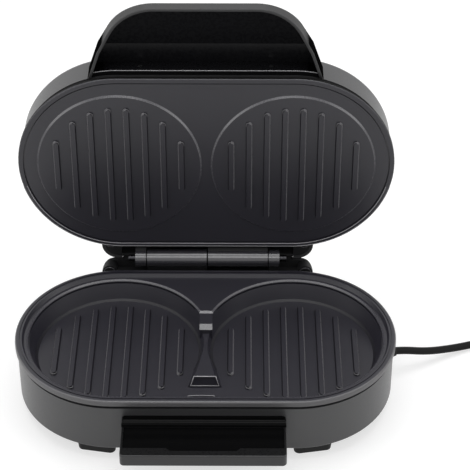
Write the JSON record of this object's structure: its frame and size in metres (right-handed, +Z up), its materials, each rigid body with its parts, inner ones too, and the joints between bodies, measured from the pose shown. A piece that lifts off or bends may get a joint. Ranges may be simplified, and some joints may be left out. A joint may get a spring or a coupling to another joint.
{
  "type": "breakfast sandwich maker",
  "caption": "Electric sandwich maker with joined round ribbed pans, a hinged lid with raised ribbed discs, black grips and a mains cord.",
  "frame": {"origin": "on the ground, midway along the object's width and depth with its lid open, cord left out", "axes": "+Z up, +X to the right and +Y to the back, seen by someone at the grips"},
  "size_m": [0.4177, 0.229, 0.2615],
  "materials": {
    "shell": "satin grey",
    "cover": "matt black",
    "rubber": "matt black",
    "grip": "glossy black",
    "frame": "matt black",
    "plate": "dark non-stick coating",
    "steel": "brushed",
    "sheet": "plain sheet",
    "ceramic": "cream",
    "brass": "plain",
    "lead": "insulated lead",
    "sheath": "black",
    "red_lens": "tinted",
    "green_lens": "tinted",
    "lamp": "clear",
    "screw": "plated"
  },
  "bodies": {
    "base": {"base_housing": "shell", "base_cover": "cover", "foot_front_left": "rubber", "foot_front_right": "rubber", "foot_back_left": "rubber", "foot_back_right": "rubber", "base_handle": "grip", "base_handle_screws": "screw", "lower_plate": "plate", "lower_plate_screws": "screw", "lower_heating_element": "steel", "lower_heat_shield": "sheet", "lower_shield_screws": "screw", "thermostat": "ceramic", "thermal_fuse": "brass", "fuse_clip": "sheet", "terminal_block": "ceramic", "supply_leads": "lead", "cover_screws": "screw", "hinge_axle": "steel", "cord_bushing": "rubber", "cord": "sheath", "cord_coil": "sheath", "plug_body": "sheath", "plug_blades": "brass"},
    "lid": {"lid_housing": "shell", "lid_frame": "frame", "lid_handle": "grip", "lid_handle_screws": "screw", "upper_plate": "plate", "upper_plate_screws": "screw", "upper_heating_element": "steel", "upper_heat_shield": "sheet", "upper_shield_screws": "screw", "ear_screws": "screw", "power_lens": "red_lens", "ready_lens": "green_lens", "power_lamp": "lamp", "ready_lamp": "lamp"}
  },
  "joints": [
    {"name": "lid_hinge", "type": "hinge", "parent": "base", "child": "lid", "pos_m": [0, 0.07725, 0.0559], "axis": [1, 0, 0], "range_deg": [0, 90]}
  ]
}
